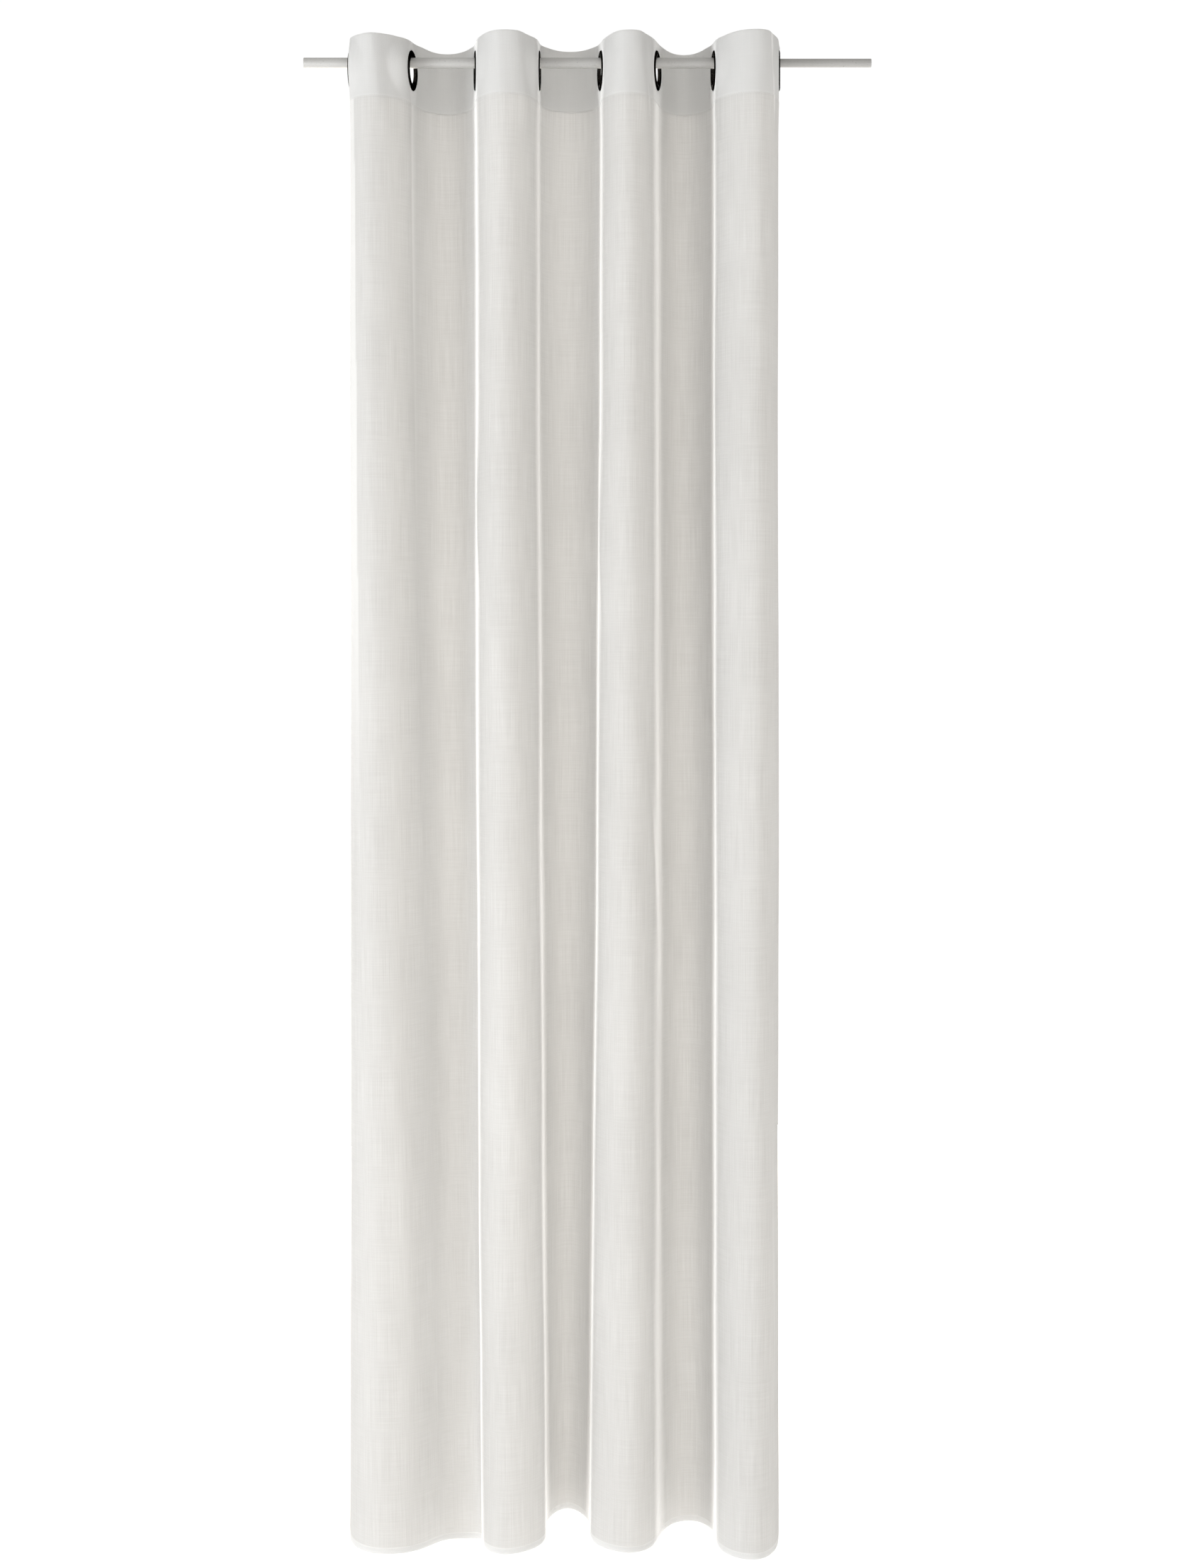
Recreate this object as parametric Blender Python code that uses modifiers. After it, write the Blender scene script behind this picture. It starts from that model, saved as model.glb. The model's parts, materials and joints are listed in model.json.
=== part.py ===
"""Eyelet curtain on a telescopic rod.

One length of cloth hangs in four deep front folds from eight eyelets, and a two-tube rod runs
through the eyelets. The cloth is divided at the crest of every fold into eight walls. Each wall
carries one eyelet, so the walls turn about the crests like a folding screen while every eyelet
stays on the rod.

Frame: metres, +X to the right along the rod, +Z up, the room side at -Y. The origin is on the
rod's axis at the left bracket.
"""

import math

import bmesh
import bpy
from mathutils import Vector

# ---------------------------------------------------------------- driving dimensions (metres)

GAP = 0.0003                 # between pieces that touch

# The rod: a thin tube that slides in a wider one.
ROD_LENGTH = 0.854           # as set, end to end
ROD_RADIUS = 0.008           # wider tube, outside
ROD_WALL = 0.0012
SLIDE_CLEARANCE = 0.0003     # radial, between the two tubes
THIN_WALL = 0.0010
OUTER_TUBE_LENGTH = 0.7165
INNER_TUBE_LENGTH = 0.524
BRACKET_FROM_END = 0.030     # from each end of the rod to the middle of its bracket

# The curtain, laid flat.
EYELET_SPACING = 0.187       # between eyelet centres, along the cloth
SIDE_MARGIN = 0.0455         # from the first and last eyelet centre to the side edge
DROP = 2.250                 # top edge to bottom edge
HEADING_HEIGHT = 0.0945      # top edge to the seam under the doubled heading
EYELET_FROM_TOP = 0.0430     # top edge to eyelet centre
BOTTOM_HEM = 0.010
SIDE_HEM = 0.011

# Thicknesses.
CLOTH = 0.0010
HEM_CLOTH = 0.0020
BAND_CLOTH = 0.0006          # one layer of the doubled heading
STIFFENER = 0.0010

# The eyelets: two halves that clamp the heading.
EYELET_HOLE = 0.020          # radius of the hole
EYELET_RADIUS = 0.030        # outside of the flange
BARREL_WALL = 0.0016
FLANGE_DOME = 0.0018         # height of the flange
HANG_CLEARANCE = 0.0005      # between the rod's top and the top of the hole
CLAMP_MARGIN = 0.0010        # flat cloth beyond the flange

# The curtain, hung.
FIRST_EYELET_X = 0.0420
SPANS = (0.0903, 0.0971, 0.0939, 0.0945, 0.0833, 0.0869, 0.0961)   # eyelet to eyelet on the rod
EYELET_TURN = (-2.0, 9.6, 4.6, 1.0, 6.9, 11.5, 3.3, 4.4)           # degrees off square to the rod
EDGE_CURL = 50.0             # degrees that the side edges curl inwards
CREST_GAP = 0.0008           # from a wall's end to the crest line that it turns about

RING_SEGMENTS = 24
TUBE_SEGMENTS = 32
CURVE_STEPS = 6              # straight pieces in each quarter turn of the cloth

# ---------------------------------------------------------------- sizes that follow

WALL_COUNT = len(SPANS) + 1
THIN_RADIUS = ROD_RADIUS - ROD_WALL - SLIDE_CLEARANCE
ROD_LEFT_X = -BRACKET_FROM_END
ROD_RIGHT_X = ROD_LEFT_X + ROD_LENGTH
EYELET_Z = ROD_RADIUS + HANG_CLEARANCE - EYELET_HOLE
TOP_Z = EYELET_Z + EYELET_FROM_TOP
SEAM_Z = TOP_Z - HEADING_HEIGHT
BOTTOM_Z = TOP_Z - DROP
HEM_TOP_Z = BOTTOM_Z + BOTTOM_HEM
SLOT = STIFFENER + 2 * GAP
BAND = SLOT + 2 * BAND_CLOTH
CLAMP = EYELET_RADIUS + CLAMP_MARGIN
BARREL_RADIUS = EYELET_HOLE + BARREL_WALL
FLANGE_BASE = BAND / 2 + GAP


def eyelet_x(index):
    """Place of an eyelet along the rod; the first has index 0."""
    return FIRST_EYELET_X + sum(SPANS[:index])


# ---------------------------------------------------------------- scene and materials

def start_collections():
    """Empty the scene and make one collection for the parts and one for the cutters."""
    for obj in list(bpy.data.objects):
        bpy.data.objects.remove(obj, do_unlink=True)
    made = []
    for name in ("eyelet_curtain", "cutters"):
        collection = bpy.data.collections.new(name)
        bpy.context.scene.collection.children.link(collection)
        made.append(collection)
    return made


PARTS, CUTTERS = start_collections()


def material(name, colour, roughness, metallic=0.0):
    """A Principled material of one colour."""
    made = bpy.data.materials.new(name)
    made.use_nodes = True
    shader = made.node_tree.nodes["Principled BSDF"]
    shader.inputs["Base Color"].default_value = (*colour, 1.0)
    shader.inputs["Roughness"].default_value = roughness
    shader.inputs["Metallic"].default_value = metallic
    return made


CLOTH_LOOK = material("semi_sheer_linen", (0.80, 0.79, 0.77), 0.90)
HEADING_LOOK = material("doubled_heading", (0.86, 0.85, 0.84), 0.88)
STIFFENER_LOOK = material("woven_stiffener", (0.88, 0.88, 0.86), 0.80)
EYELET_LOOK = material("black_nickel", (0.03, 0.028, 0.026), 0.28, 0.9)
ROD_LOOK = material("pale_grey_lacquer", (0.62, 0.61, 0.60), 0.45, 0.1)
THIN_ROD_LOOK = material("pale_grey_lacquer_thin", (0.58, 0.57, 0.56), 0.45, 0.1)


# ---------------------------------------------------------------- fold geometry

def clamp_end(turn):
    """End of the flat cloth under an eyelet, for an arm that runs to -Y and leans to +X."""
    return Vector((CLAMP * math.sin(turn), -CLAMP * math.cos(turn)))


def arm(half_span, depth, turn):
    """Plan of the cloth from the clamp to the crest: a quarter turn that ends along the rod."""
    start = clamp_end(turn)
    corner = Vector((start.x + (depth + start.y) * math.tan(turn), -depth))
    end = Vector((half_span - CREST_GAP, -depth))
    points = []
    for step in range(CURVE_STEPS + 1):
        angle = step / CURVE_STEPS * math.pi / 2
        from_start = (start - corner) * (1 - math.sin(angle))
        from_end = (end - corner) * (1 - math.cos(angle))
        points.append(corner + from_start + from_end)
    return points


def run_length(points):
    """Length of a run of points."""
    return sum((b - a).length for a, b in zip(points, points[1:]))


def crest_depth(index):
    """Depth of a fold: the cloth between two eyelets keeps its length at any span."""
    half_span = SPANS[index] / 2
    turn = math.radians(EYELET_TURN[index] + EYELET_TURN[index + 1]) / 2
    low = CLAMP
    high = CLAMP + EYELET_SPACING
    for _ in range(40):
        depth = (low + high) / 2
        if CLAMP + run_length(arm(half_span, depth, turn)) < EYELET_SPACING / 2:
            low = depth
        else:
            high = depth
    return depth


DEPTHS = [crest_depth(index) for index in range(len(SPANS))]


def is_front(span_index):
    """The first span is a front fold, the next a back one, and so on."""
    return span_index % 2 == 0


def crest_point(span_index):
    """Where the crest line of a fold stands, in plan."""
    x = eyelet_x(span_index) + SPANS[span_index] / 2
    side = -1 if is_front(span_index) else 1
    return Vector((x, side * DEPTHS[span_index]))


def edge_point(turn, distance):
    """Place on a side edge's cloth: flat as far as the clamp reaches, then curling inwards."""
    lean = Vector((math.sin(turn), -math.cos(turn)))
    inward = Vector((-math.cos(turn), -math.sin(turn)))
    if distance <= CLAMP:
        return lean * distance
    radius = (SIDE_MARGIN - CLAMP) / math.radians(EDGE_CURL)
    bend = (distance - CLAMP) / radius
    return lean * (CLAMP + radius * math.sin(bend)) + inward * radius * (1 - math.cos(bend))


def edge_run(turn, start, stop):
    """Plan of a stretch of a side edge, between two distances from the eyelet's centre."""
    pieces = CURVE_STEPS // 2
    places = [start + (stop - start) * step / pieces for step in range(pieces + 1)]
    return [edge_point(turn, distance) for distance in places]


def placed(points, to_right, to_front):
    """Turn an arm that runs right and to the front into any of the four quarters."""
    flip_x = 1 if to_right else -1
    flip_y = 1 if to_front else -1
    return [Vector((point.x * flip_x, point.y * flip_y)) for point in points]


def wall_arm(index, on_right, cut):
    """One arm of a wall, outwards from the clamp, about the eyelet's own centre."""
    turn = math.radians(EYELET_TURN[index])
    span_index = index if on_right else index - 1
    if 0 <= span_index < len(SPANS):
        points = arm(SPANS[span_index] / 2, DEPTHS[span_index], turn)
        return placed(points, on_right, is_front(span_index))
    stop = SIDE_MARGIN - cut
    start = CLAMP if CLAMP < stop else stop / 2
    return placed(edge_run(turn, start, stop), on_right, False)


def wall_plan(index, cut=0.0):
    """Plan of a whole wall from left to right, with any side edge shortened by cut."""
    return list(reversed(wall_arm(index, False, cut))) + wall_arm(index, True, cut)


def side_steps(points, distance):
    """For each point of a plan, the step onto a line that runs beside it at a distance."""
    steps = []
    for number, point in enumerate(points):
        before = points[max(number - 1, 0)]
        after = points[min(number + 1, len(points) - 1)]
        normals = []
        for start, end in ((before, point), (point, after)):
            if start != end:
                along = (end - start).normalized()
                normals.append(Vector((-along.y, along.x)))
        middle = sum(normals, Vector((0, 0))).normalized()
        steps.append(middle * distance / middle.dot(normals[0]))
    return steps


# ---------------------------------------------------------------- object helpers

def add_object(name, mesh, collection, look=None):
    """A new object with one material."""
    obj = bpy.data.objects.new(name, mesh)
    collection.objects.link(obj)
    if look is not None:
        mesh.materials.append(look)
    return obj


def as_cutter(obj):
    """Mark a tool body that is not a part."""
    obj.hide_render = True
    obj.display_type = "WIRE"
    return obj


def made_solid(name, work, thickness, collection, look):
    """Turn an open surface into a sheet of even thickness, half of it on each side."""
    bmesh.ops.recalc_face_normals(work, faces=work.faces)
    mesh = bpy.data.meshes.new(name)
    work.to_mesh(mesh)
    work.free()
    obj = add_object(name, mesh, collection, look)
    solid = obj.modifiers.new("thickness", "SOLIDIFY")
    solid.thickness = thickness
    solid.offset = 0.0
    solid.use_even_offset = True
    return obj


def foot_edges(work, plan, height):
    """A line of edges along a plan."""
    foot = [work.verts.new((point.x, point.y, height)) for point in plan]
    return [work.edges.new(pair) for pair in zip(foot, foot[1:])]


def pulled(work, edges, rise):
    """Extrude a line of edges straight up, or down."""
    raised = bmesh.ops.extrude_edge_only(work, edges=edges)["geom"]
    verts = [item for item in raised if isinstance(item, bmesh.types.BMVert)]
    bmesh.ops.translate(work, verts=verts, vec=(0, 0, rise))
    return [item for item in raised if isinstance(item, bmesh.types.BMEdge)]


def turned_over(work, edges):
    """Extrude a line of edges across, by the step that each vertex carries."""
    step_layer = work.verts.layers.float_vector["across"]
    raised = bmesh.ops.extrude_edge_only(work, edges=edges)["geom"]
    for item in raised:
        if isinstance(item, bmesh.types.BMVert):
            item.co += item[step_layer]
    return [item for item in raised if isinstance(item, bmesh.types.BMEdge)]


def standing_strip(name, plan, low, high, thickness, collection, look=None):
    """A strip of cloth that stands on a plan: an open surface, made solid."""
    work = bmesh.new()
    pulled(work, foot_edges(work, plan, low), high - low)
    return made_solid(name, work, thickness, collection, look)


def folded_strip(name, plan, low, high, opening, thickness, collection, look):
    """A strip turned over at the top, with an opening between its two layers."""
    steps = side_steps(plan, (opening + thickness) / 2)
    near = [point - step for point, step in zip(plan, steps)]
    rise = high - thickness / 2 - low
    work = bmesh.new()
    step_layer = work.verts.layers.float_vector.new("across")
    edges = foot_edges(work, near, low)
    for vert, step in zip(work.verts, steps):
        vert[step_layer] = (2 * step.x, 2 * step.y, 0)
    edges = pulled(work, edges, rise)
    edges = turned_over(work, edges)
    pulled(work, edges, -rise)
    return made_solid(name, work, thickness, collection, look)


def turned(name, profile, segments, collection, look):
    """A turned ring or tube: a closed profile of (radius, height), spun about local Z."""
    mesh = bpy.data.meshes.new(name)
    count = len(profile)
    loop = [(step, (step + 1) % count) for step in range(count)]
    mesh.from_pydata([(radius, 0.0, height) for radius, height in profile], loop, [])
    obj = add_object(name, mesh, collection, look)
    spin = obj.modifiers.new("turn", "SCREW")
    spin.axis = "Z"
    spin.angle = 2 * math.pi
    spin.steps = segments
    spin.render_steps = segments
    spin.use_merge_vertices = True
    spin.merge_threshold = 0.00005
    spin.use_smooth_shade = True
    return obj


def cut_with(obj, cutter, name):
    """Cut one body from another."""
    cut = obj.modifiers.new(name, "BOOLEAN")
    cut.operation = "DIFFERENCE"
    cut.solver = "EXACT"
    cut.object = cutter


def empty_at(name, place, parent=None):
    """An empty on a joint's axis."""
    obj = bpy.data.objects.new(name, None)
    obj.empty_display_size = 0.03
    PARTS.objects.link(obj)
    obj.location = place
    if parent is not None:
        obj.parent = parent
        obj.location = Vector(place) - world_place(parent)
    return obj


def world_place(obj):
    """Sum of the locations up the tree; no empty here is turned or scaled."""
    place = Vector((0, 0, 0))
    while obj is not None:
        place += obj.location
        obj = obj.parent
    return place


def attach(obj, parent, place):
    """Put an object at a place in the world, carried by an empty."""
    obj.parent = parent
    obj.location = Vector(place) - world_place(parent)


# ---------------------------------------------------------------- the rod

def tube(name, radius, wall, length, left_x, parent, look):
    """A round tube along X that starts at left_x."""
    profile = [
        (radius, length),
        (radius, 0.0),
        (radius - wall, 0.0),
        (radius - wall, length),
    ]
    obj = turned(name, profile, TUBE_SEGMENTS, PARTS, look)
    obj.rotation_euler = (0, math.pi / 2, 0)
    attach(obj, parent, (left_x, 0, 0))
    return obj


def build_rod():
    """The wider tube, and the thin one that slides out of it to the right."""
    seat = empty_at("left_bracket_seat", (0, 0, 0))
    slide = empty_at("rod_slide", (ROD_RIGHT_X - INNER_TUBE_LENGTH, 0, 0), seat)
    tube("rod_outer_tube", ROD_RADIUS, ROD_WALL, OUTER_TUBE_LENGTH, ROD_LEFT_X, seat, ROD_LOOK)
    inner_left = ROD_RIGHT_X - INNER_TUBE_LENGTH
    tube("rod_inner_tube", THIN_RADIUS, THIN_WALL, INNER_TUBE_LENGTH, inner_left, slide,
         THIN_ROD_LOOK)
    return seat


# ---------------------------------------------------------------- the eyelets

def dome(inner, outer, base, steps, sweep):
    """The domed face of a flange, from its outer edge inwards, over part of a half ellipse."""
    middle = (inner + outer) / 2
    half = (outer - inner) / 2
    points = []
    for step in range(steps + 1):
        angle = sweep * step / steps
        points.append((middle + half * math.cos(angle), base + FLANGE_DOME * math.sin(angle)))
    return points


def eyelet_front(name):
    """The front half: a domed flange with the barrel that goes through the heading."""
    barrel_end = -FLANGE_BASE - FLANGE_DOME / 2
    face = dome(EYELET_HOLE, EYELET_RADIUS, FLANGE_BASE, 5, math.pi * 5 / 6)
    bore = [(EYELET_HOLE, FLANGE_BASE), (EYELET_HOLE, barrel_end), (BARREL_RADIUS, barrel_end),
            (BARREL_RADIUS, FLANGE_BASE)]
    profile = list(reversed(face + bore))
    return turned(name, profile, RING_SEGMENTS, PARTS, EYELET_LOOK)


def eyelet_back(name):
    """The back half: a domed ring that snaps over the barrel."""
    inner = BARREL_RADIUS + GAP
    face = dome(inner, EYELET_RADIUS, FLANGE_BASE, 4, math.pi)
    face = [(radius, -height) for radius, height in face]
    return turned(name, face, RING_SEGMENTS, PARTS, EYELET_LOOK)


def eyelet_heading(index):
    """Angle about Z that points an eyelet's axis out of the cloth's front face."""
    turn = math.radians(EYELET_TURN[index])
    if is_front(index):
        return math.pi + turn
    return -turn


def hole_cutter(index, parent, place):
    """The round hole through the heading, which the barrel passes."""
    work = bmesh.new()
    radius = BARREL_RADIUS + GAP
    bmesh.ops.create_cone(work, cap_ends=True, segments=RING_SEGMENTS, radius1=radius,
                          radius2=radius, depth=4 * BAND)
    mesh = bpy.data.meshes.new(f"hole_cutter_{index + 1}")
    work.to_mesh(mesh)
    work.free()
    obj = as_cutter(add_object(f"hole_cutter_{index + 1}", mesh, CUTTERS))
    obj.rotation_euler = (0, math.pi / 2, eyelet_heading(index))
    attach(obj, parent, place)
    return obj


# ---------------------------------------------------------------- the cloth walls

def build_heading(index, parent, place):
    """The doubled heading, folded over its stiffener, with the hole for the eyelet."""
    number = index + 1
    plan = wall_plan(index)
    low = SEAM_Z - EYELET_Z
    high = TOP_Z - EYELET_Z
    hole = hole_cutter(index, parent, place)
    band = folded_strip(f"heading_band_{number}", plan, low, high, SLOT, BAND_CLOTH, PARTS,
                        HEADING_LOOK)
    stiffener = standing_strip(f"heading_stiffener_{number}", plan, low + GAP,
                               high - BAND_CLOTH - GAP, STIFFENER, PARTS, STIFFENER_LOOK)
    for obj in (band, stiffener):
        cut_with(obj, hole, "eyelet hole")
        attach(obj, parent, place)


def build_side_hem(name, index, on_right, parent, place):
    """The doubled side edge, from the heading seam to the bottom hem."""
    turn = math.radians(EYELET_TURN[index])
    plan = placed(edge_run(turn, SIDE_MARGIN - SIDE_HEM, SIDE_MARGIN), on_right, False)
    low = HEM_TOP_Z + GAP - EYELET_Z
    high = SEAM_Z - GAP - EYELET_Z
    hem = standing_strip(name, plan, low, high, HEM_CLOTH, PARTS, CLOTH_LOOK)
    attach(hem, parent, place)


def build_wall(index, parent, place):
    """One wall of cloth with its heading, its bottom hem and its eyelet."""
    number = index + 1
    plan = wall_plan(index, SIDE_HEM + GAP)
    low = HEM_TOP_Z + GAP - EYELET_Z
    high = SEAM_Z - GAP - EYELET_Z
    cloth = standing_strip(f"curtain_cloth_{number}", plan, low, high, CLOTH, PARTS, CLOTH_LOOK)
    hem = standing_strip(f"bottom_hem_{number}", wall_plan(index), BOTTOM_Z - EYELET_Z,
                         HEM_TOP_Z - EYELET_Z, HEM_CLOTH, PARTS, CLOTH_LOOK)
    attach(cloth, parent, place)
    attach(hem, parent, place)
    build_heading(index, parent, place)
    for half in (eyelet_front(f"eyelet_front_{number}"), eyelet_back(f"eyelet_back_{number}")):
        half.rotation_euler = (0, math.pi / 2, eyelet_heading(index))
        attach(half, parent, place)


def build_curtain(rod):
    """Eight walls, each carried by an empty on the line that it turns about."""
    carrier = rod
    for index in range(WALL_COUNT):
        place = (eyelet_x(index), 0, EYELET_Z)
        if index == 0:
            axis = place
        else:
            crest = crest_point(index - 1)
            axis = (crest.x, crest.y, EYELET_Z)
        carrier = empty_at(f"turning_line_{index + 1}", axis, carrier)
        build_wall(index, carrier, place)
        if index == 0:
            build_side_hem("side_hem_left", index, False, carrier, place)
        if index == WALL_COUNT - 1:
            build_side_hem("side_hem_right", index, True, carrier, place)


build_curtain(build_rod())
bpy.context.view_layer.update()
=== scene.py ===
# %% [markdown]
# # An eyelet curtain on a telescopic rod
#
# The mechanism is settled before this script starts: a rod of two tubes, and a curtain divided
# at the crest of every fold into eight walls that turn like a folding screen. Here that frame is
# loaded and dressed. The cloth becomes one soft sheet, the eyelets get their rounded metal, and
# the rod gets its lacquer. Every length is in metres, with the rod along X and the room at -Y.

# %% Load the frame
import json
import math

import bmesh
import bpy
import numpy as np
from mathutils import Matrix, Vector, noise


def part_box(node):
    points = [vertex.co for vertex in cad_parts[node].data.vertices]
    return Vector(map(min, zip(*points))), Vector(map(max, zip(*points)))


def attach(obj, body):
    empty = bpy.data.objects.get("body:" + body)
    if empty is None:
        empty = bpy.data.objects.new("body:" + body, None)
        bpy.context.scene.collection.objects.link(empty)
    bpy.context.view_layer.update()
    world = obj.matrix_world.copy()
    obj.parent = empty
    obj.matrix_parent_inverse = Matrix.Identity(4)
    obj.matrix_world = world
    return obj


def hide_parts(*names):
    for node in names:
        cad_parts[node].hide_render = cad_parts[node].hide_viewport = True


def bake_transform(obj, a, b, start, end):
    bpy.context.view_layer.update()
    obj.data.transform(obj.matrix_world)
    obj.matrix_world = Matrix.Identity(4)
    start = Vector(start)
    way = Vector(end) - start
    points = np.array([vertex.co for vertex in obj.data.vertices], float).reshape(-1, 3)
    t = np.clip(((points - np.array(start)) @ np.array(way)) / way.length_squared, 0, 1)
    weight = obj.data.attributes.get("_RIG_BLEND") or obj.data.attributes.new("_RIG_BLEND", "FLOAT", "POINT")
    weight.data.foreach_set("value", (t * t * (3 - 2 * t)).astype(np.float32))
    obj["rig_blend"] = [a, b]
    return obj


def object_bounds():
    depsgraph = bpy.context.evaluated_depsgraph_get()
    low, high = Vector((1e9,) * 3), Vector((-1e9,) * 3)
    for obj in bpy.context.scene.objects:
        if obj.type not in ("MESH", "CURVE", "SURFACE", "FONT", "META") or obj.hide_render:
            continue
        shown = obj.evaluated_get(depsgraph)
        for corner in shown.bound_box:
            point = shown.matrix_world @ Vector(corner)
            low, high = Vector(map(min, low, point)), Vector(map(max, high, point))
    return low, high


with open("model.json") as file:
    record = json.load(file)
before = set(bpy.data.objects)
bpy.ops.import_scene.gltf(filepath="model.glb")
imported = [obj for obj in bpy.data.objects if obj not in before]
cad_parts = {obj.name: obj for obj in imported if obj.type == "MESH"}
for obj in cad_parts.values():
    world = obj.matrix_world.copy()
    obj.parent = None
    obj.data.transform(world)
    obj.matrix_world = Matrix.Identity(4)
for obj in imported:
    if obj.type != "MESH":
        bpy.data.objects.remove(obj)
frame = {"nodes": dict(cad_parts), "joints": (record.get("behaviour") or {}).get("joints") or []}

BOX_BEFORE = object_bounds()
JOINTS = {joint["name"]: joint for joint in frame["joints"]}
LOW, HIGH = BOX_BEFORE
print("frame box", [round(value, 3) for value in (*LOW, *HIGH)])

# %% [markdown]
# ## Where the eyelets and crests are
#
# The joints say where the first eyelet hangs and where each crest stands. A crest is midway
# between two eyelets, so the other eyelets follow one by one. Reading them from the frame, and not
# typing them again, keeps the cloth on the mechanism if the mechanism changes.

# %% Eyelets and crests
CRESTS = [Vector(JOINTS[f"fold_{number}"]["pos_m"]) for number in range(1, 8)]
FIRST = Vector(JOINTS["curtain_draw"]["pos_m"])
EYELETS = [FIRST]
for crest in CRESTS:
    EYELETS.append(Vector((2 * crest.x - EYELETS[-1].x, 0, FIRST.z)))
EYELET_COUNT = len(EYELETS)

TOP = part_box("heading_band_1")[1].z
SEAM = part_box("heading_band_1")[0].z
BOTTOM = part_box("bottom_hem_1")[0].z


def eyelet_axis(number):
    """Unit vector out of the front of an eyelet, measured on its two halves."""
    halves = []
    for side in ("front", "back"):
        node = frame["nodes"][f"eyelet_{side}_{number}"]
        halves.append(np.array([vert.co for vert in node.data.vertices]))
    flat = halves[1] - halves[1].mean(axis=0)
    axis = Vector(np.linalg.svd(flat, full_matrices=False)[2][2])
    outward = Vector(halves[0].mean(axis=0) - halves[1].mean(axis=0))
    return axis if axis.dot(outward) > 0 else -axis


AXES = [eyelet_axis(number + 1) for number in range(EYELET_COUNT)]
print("eyelets at x", [round(place.x, 3) for place in EYELETS])
print("heading", round(TOP, 4), "to", round(SEAM, 4), "and hem at", round(BOTTOM, 4))

# %% [markdown]
# ## Camera
#
# A curtain is photographed straight on. The camera stays level, so that the folds stay upright in
# the picture, and a small vertical shift frames the whole drop, as the rising front of a view
# camera would. The lens is a little longer than normal, from under four metres away.

# %% Camera
CAMERA_DISTANCE = 3.69
CAMERA_BELOW_ROD = 0.896
CAMERA_FROM_FIRST_EYELET = 0.3566
LENS = 56.3  # millimetres, on the sensor width below
SENSOR_WIDTH = 36.0
VERTICAL_SHIFT = -0.080


def placed(name, data):
    """An object in the scene, made from its data."""
    obj = bpy.data.objects.new(name, data)
    bpy.context.scene.collection.objects.link(obj)
    return obj


camera_data = bpy.data.cameras.new("camera")
camera_data.lens = LENS
camera_data.sensor_width = SENSOR_WIDTH
camera_data.shift_y = VERTICAL_SHIFT
camera = placed("camera", camera_data)
camera.location = (FIRST.x + CAMERA_FROM_FIRST_EYELET, -CAMERA_DISTANCE, -CAMERA_BELOW_ROD)
camera.rotation_euler = (math.pi / 2, 0, 0)
bpy.context.scene.camera = camera
print("camera at", [round(value, 3) for value in camera.location])

# %% [markdown]
# ## Light and floor
#
# White cloth shows its folds only through soft differences of light. The surroundings are white
# and even, a wide lamp stands at the front left so that each fold is brighter on its left, and a
# warmer one stands behind like a window, because this cloth is half seen by the light that comes
# through it. The floor is a pale sweep that is lit as brightly as the surroundings, so nothing
# cuts across the picture behind the curtain.

# %% Light and floor
AMBIENT = 0.545
AMBIENT_COLOUR = (1, 0.985, 0.955, 1)
BACKGROUND = 1.02  # just past white, so that it stays even
FLOOR_DROP = 0.030
FLOOR_HALF = 14.0
FLOOR_GLOW = 0.55
MIDDLE = (LOW + HIGH) / 2
KEY_PLACE = (-2.9, -2.4, -1.1)
KEY_AIM = (MIDDLE.x, 0, -1.2)
KEY_POWER = 63
KEY_COLOUR = (0.93, 0.965, 1)
WINDOW_PLACE = (MIDDLE.x - 0.8, 3.1, -1.6)
WINDOW_AIM = (MIDDLE.x, 0, -1.5)
WINDOW_POWER = 132
WINDOW_COLOUR = (1, 0.92, 0.81)


def set_sockets(node, **values):
    """Set a node's own sockets; an underscore in a name stands for a space."""
    for name, value in values.items():
        node.inputs[name.replace("_", " ")].default_value = value


def white_surroundings():
    """Even white light all round, and a plain white background."""
    world = bpy.data.worlds.new("white_studio")
    world.use_nodes = True
    nodes = world.node_tree.nodes
    links = world.node_tree.links
    nodes.clear()
    out = nodes.new("ShaderNodeOutputWorld")
    mix = nodes.new("ShaderNodeMixShader")
    seen = nodes.new("ShaderNodeBackground")
    felt = nodes.new("ShaderNodeBackground")
    path = nodes.new("ShaderNodeLightPath")
    set_sockets(seen, Color=(1, 1, 1, 1), Strength=BACKGROUND)
    set_sockets(felt, Color=AMBIENT_COLOUR, Strength=AMBIENT)
    links.new(path.outputs["Is Camera Ray"], mix.inputs["Fac"])
    links.new(felt.outputs[0], mix.inputs[1])
    links.new(seen.outputs[0], mix.inputs[2])
    links.new(mix.outputs[0], out.inputs["Surface"])
    bpy.context.scene.world = world


def soft_lamp(name, place, aim, width, height, power, colour):
    """A wide rectangular lamp that points at a place."""
    lamp = bpy.data.lights.new(name, "AREA")
    lamp.shape = "RECTANGLE"
    lamp.size = width
    lamp.size_y = height
    lamp.energy = power
    lamp.color = colour
    obj = placed(name, lamp)
    obj.location = place
    obj.rotation_euler = (Vector(aim) - Vector(place)).to_track_quat("-Z", "Y").to_euler()
    return obj


def pale_floor():
    """A wide floor just under the hem, lit up to the white of the surroundings."""
    work = bmesh.new()
    bmesh.ops.create_grid(work, x_segments=1, y_segments=1, size=FLOOR_HALF)
    bmesh.ops.translate(work, verts=work.verts, vec=(0, 0, BOTTOM - FLOOR_DROP))
    mesh = bpy.data.meshes.new("floor")
    work.to_mesh(mesh)
    work.free()
    look = bpy.data.materials.new("pale_floor")
    look.use_nodes = True
    shader = look.node_tree.nodes["Principled BSDF"]
    set_sockets(shader, Base_Color=(0.9, 0.9, 0.9, 1), Roughness=0.9, Emission_Color=(1, 1, 1, 1),
                Emission_Strength=FLOOR_GLOW)
    mesh.materials.append(look)
    placed("floor", mesh)


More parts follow.
